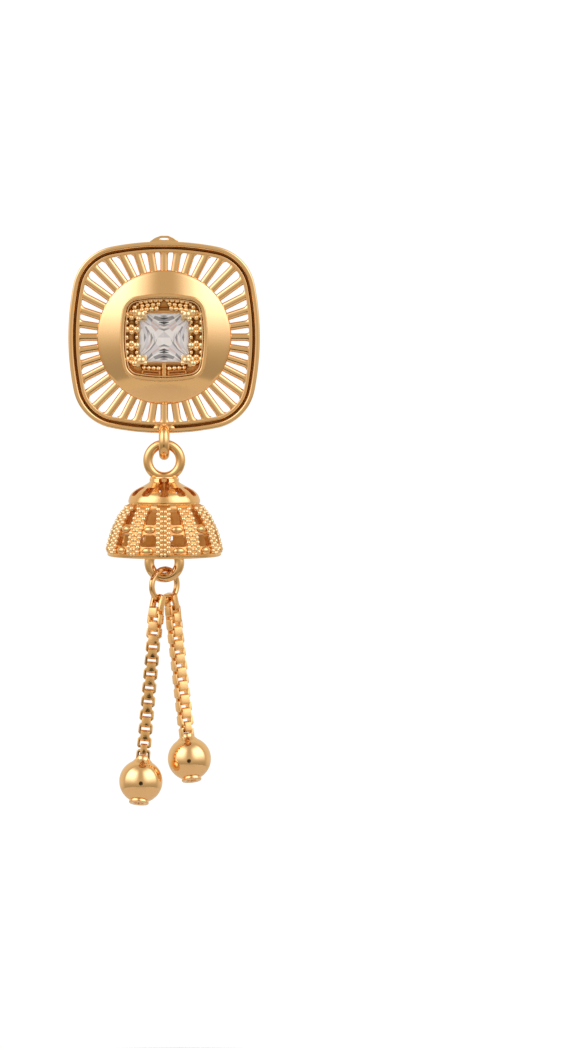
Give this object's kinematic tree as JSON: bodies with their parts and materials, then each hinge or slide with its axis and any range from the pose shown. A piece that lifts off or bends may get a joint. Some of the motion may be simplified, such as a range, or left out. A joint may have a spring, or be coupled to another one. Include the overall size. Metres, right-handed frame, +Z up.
{
  "type": "jhumka earring",
  "caption": "Drop earring with a pierced cushion-shaped stud plate and set stone, a granulated bell on a loop, and box chains ending in polished balls.",
  "frame": {"origin": "root of the ear post, in the plane of the plate's back, at the plate's centre", "axes": "+Z up along the hanging drop, -Y out of the plate's front, +Y back along the ear post, +X to the right seen from the front"},
  "size_m": [0.0174, 0.0181, 0.0524],
  "materials": {
    "gold": "gold-plated brass, polished",
    "stone": "clear cut stone, faceted"
  },
  "bodies": {
    "plate": {"top_plate": "gold", "stone_setting": "gold", "centre_stone": "stone", "ear_post": "gold"},
    "drop": {"bell_dome": "gold", "jump_ring": "gold", "chain_left": "gold", "chain_right": "gold", "ball_left": "gold", "ball_right": "gold"}
  },
  "joints": [
    {"name": "drop_swing", "type": "hinge", "parent": "plate", "child": "drop", "pos_m": [0, -0.00172, -0.0108], "axis": [0, 1, 0], "range_deg": [-55, 55]}
  ]
}
